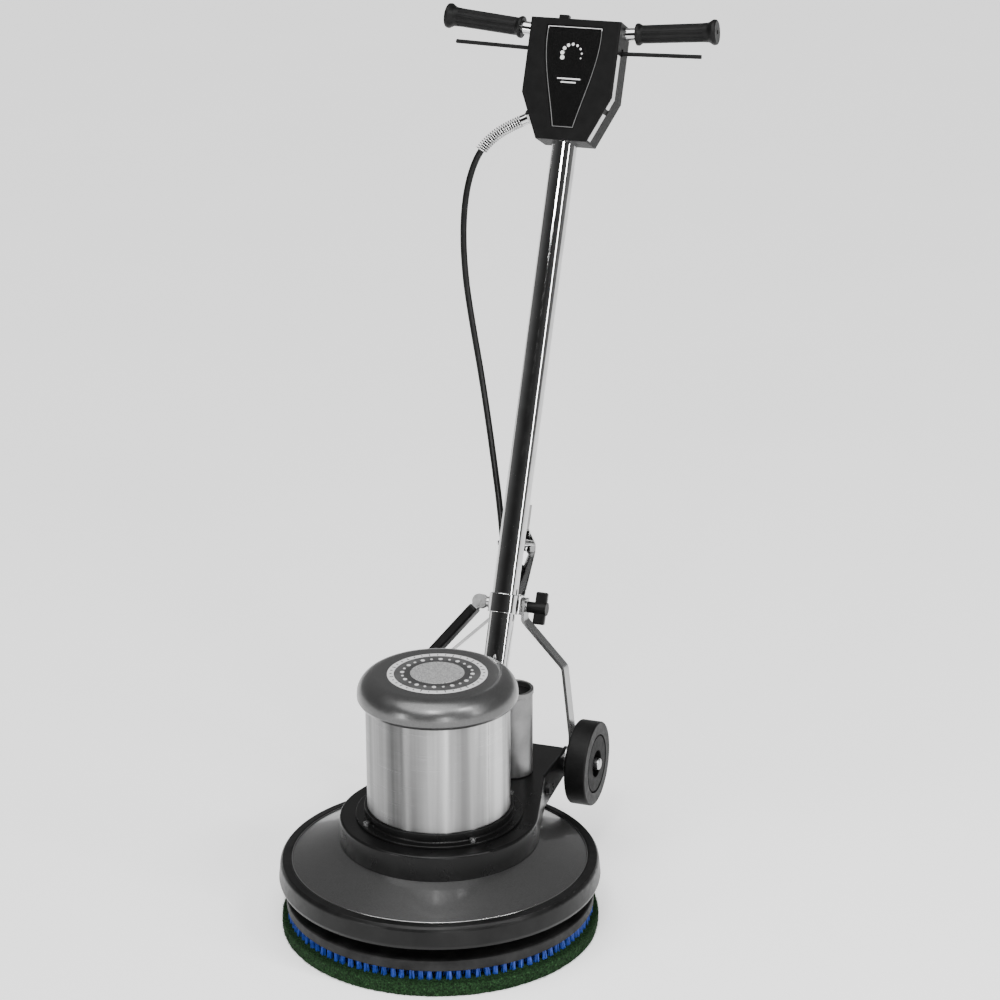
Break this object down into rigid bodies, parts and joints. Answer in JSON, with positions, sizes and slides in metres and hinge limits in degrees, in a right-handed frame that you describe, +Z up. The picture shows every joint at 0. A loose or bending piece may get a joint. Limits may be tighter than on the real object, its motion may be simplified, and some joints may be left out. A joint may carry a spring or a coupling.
{
  "type": "rotary floor machine",
  "caption": "Walk-behind rotary floor machine: round scrub pad under a domed apron, upright motor, tilting tube handle with switch box, squeeze levers and transport wheels.",
  "frame": {"origin": "on the floor at the centre of the pad's underside, on the motor's axis", "axes": "+Z up along the motor's axis, front faces -Y, the handle and wheels are towards +Y, +X to the right seen from the front"},
  "size_m": [0.5118, 1.003, 1.332],
  "materials": {
    "green_pad": "fibrous",
    "blue_bristle": "tufted",
    "black_plastic": "fine texture",
    "dark_paint": "metallic gloss",
    "black_casting": "satin paint",
    "bare_casting": "as cast",
    "black_rubber": "satin",
    "tyre": "matt",
    "grey_rubber": "matt",
    "bright_steel": "polished",
    "gear_steel": "machined",
    "chrome": "mirror",
    "black_steel": "satin",
    "can_metal": "satin",
    "pewter": "satin metallic",
    "lamination": "laminated",
    "copper": "enamelled wire"
  },
  "bodies": {
    "base": {"apron": "dark_paint", "bumper": "black_rubber", "gear_housing": "black_casting", "gearbox_cover": "bare_casting", "housing_bolts": "bright_steel", "ring_gear": "gear_steel", "lower_end_bell": "black_casting", "upper_end_bell": "bare_casting", "stator": "lamination", "stator_coils": "copper", "motor_band": "bright_steel", "motor_cap": "pewter", "bearings": "bright_steel", "capacitor_can_right": "can_metal", "capacitor_can_left": "can_metal", "can_lids": "black_plastic", "capacitors": "black_plastic", "axle": "bright_steel", "axle_hardware": "bright_steel", "pivot_bolt": "black_steel"},
    "handle": {"handle_tube": "chrome", "foot_sleeve": "gear_steel", "handlebar": "chrome", "grip_right": "black_rubber", "grip_left": "black_rubber", "switch_box_front": "black_plastic", "switch_box_rear": "black_plastic", "box_gasket": "grey_rubber", "box_screws": "bright_steel", "power_switch": "black_plastic", "mains_gland": "black_plastic", "motor_gland": "chrome", "bend_spring": "chrome", "motor_cable": "black_rubber", "tube_grommet": "black_rubber"},
    "clamp": {"collar": "chrome", "clamp_bolt": "bright_steel", "cable_strap": "chrome"},
    "braces": {"brace_right": "bright_steel", "brace_left": "bright_steel"},
    "cam": {"cam_lever": "chrome", "cam_grip": "black_plastic"},
    "knob": {"clamp_knob": "black_plastic"},
    "wheel_r": {"wheel_right": "black_plastic", "tyre_right": "tyre"},
    "wheel_l": {"wheel_left": "black_plastic", "tyre_left": "tyre"},
    "switch_lever_r": {"lever_right": "black_plastic"},
    "switch_lever_l": {"lever_left": "black_plastic"},
    "button": {"lock_button": "black_plastic"},
    "driver": {"pad": "green_pad", "bristles": "blue_bristle", "driver_disc": "black_plastic", "carrier": "gear_steel"},
    "planet_1": {"planet_gear_1": "gear_steel"},
    "planet_2": {"planet_gear_2": "gear_steel"},
    "planet_3": {"planet_gear_3": "gear_steel"},
    "rotor": {"rotor": "lamination", "motor_shaft": "gear_steel", "cooling_fan": "black_plastic"}
  },
  "joints": [
    {"name": "handle_tilt", "type": "hinge", "parent": "base", "child": "handle", "pos_m": [0, 0.1945, 0.162], "axis": [-1, 0, 0], "range_deg": [-24.4, 30]},
    {"name": "clamp_slide", "type": "slide", "parent": "handle", "child": "clamp", "axis": [0, 0.4131, 0.9107], "range_m": [-0.0456, 0.056]},
    {"name": "brace_swing", "type": "hinge", "parent": "clamp", "child": "braces", "pos_m": [0, 0.34435, 0.41247], "axis": [-1, 0, 0], "range_deg": [-5.4, 6.6]},
    {"name": "cam_turn", "type": "hinge", "parent": "clamp", "child": "cam", "pos_m": [-0.051, 0.34435, 0.41247], "axis": [0, 0.9107, -0.4131], "range_deg": [0, 90]},
    {"name": "knob_turn", "type": "hinge", "parent": "clamp", "child": "knob", "pos_m": [0.05, 0.34435, 0.41247], "axis": [1, 0, 0], "range_deg": [-360, 360]},
    {"name": "wheel_r_spin", "type": "hinge", "parent": "base", "child": "wheel_r", "pos_m": [0.1474, 0.305, 0.165], "axis": [1, 0, 0], "continuous": true},
    {"name": "wheel_l_spin", "type": "hinge", "parent": "base", "child": "wheel_l", "pos_m": [-0.1474, 0.305, 0.165], "axis": [1, 0, 0], "continuous": true},
    {"name": "lever_r_squeeze", "type": "hinge", "parent": "handle", "child": "switch_lever_r", "pos_m": [0.05, 0.69629, 1.26818], "axis": [0, -0.9107, 0.4131], "range_deg": [0, 5.5], "stiffness_Nm_per_rad": 0.6, "springref_deg": -5.73},
    {"name": "lever_l_squeeze", "type": "hinge", "parent": "handle", "child": "switch_lever_l", "pos_m": [-0.05, 0.69629, 1.26818], "axis": [0, 0.9107, -0.4131], "range_deg": [0, 5.5], "stiffness_Nm_per_rad": 0.6, "springref_deg": -5.73},
    {"name": "button_press", "type": "slide", "parent": "handle", "child": "button", "axis": [0, -0.4131, -0.9107], "range_m": [0, 0.004], "stiffness_N_per_m": 300, "springref_m": -0.002},
    {"name": "driver_spin", "type": "hinge", "parent": "base", "child": "driver", "pos_m": [0, 0, 0.05], "axis": [0, 0, 1], "continuous": true},
    {"name": "rotor_spin", "type": "hinge", "parent": "base", "child": "rotor", "pos_m": [0, 0, 0.29], "axis": [0, 0, 1], "continuous": true},
    {"name": "planet_1_spin", "type": "hinge", "parent": "driver", "child": "planet_1", "pos_m": [0.045, 0, 0.162], "axis": [0, 0, 1], "continuous": true},
    {"name": "planet_2_spin", "type": "hinge", "parent": "driver", "child": "planet_2", "pos_m": [-0.0225, 0.03897, 0.162], "axis": [0, 0, 1], "continuous": true},
    {"name": "planet_3_spin", "type": "hinge", "parent": "driver", "child": "planet_3", "pos_m": [-0.0225, -0.03897, 0.162], "axis": [0, 0, 1], "continuous": true}
  ],
  "couplings": [
    {"joint": "clamp_slide", "follows": "handle_tilt", "m_per_rad": 0.10635},
    {"joint": "brace_swing", "follows": "handle_tilt", "ratio": 0.21061},
    {"joint": "rotor_spin", "follows": "driver_spin", "ratio": 10},
    {"joint": "planet_1_spin", "follows": "driver_spin", "ratio": -2.25},
    {"joint": "planet_2_spin", "follows": "driver_spin", "ratio": -2.25},
    {"joint": "planet_3_spin", "follows": "driver_spin", "ratio": -2.25}
  ]
}
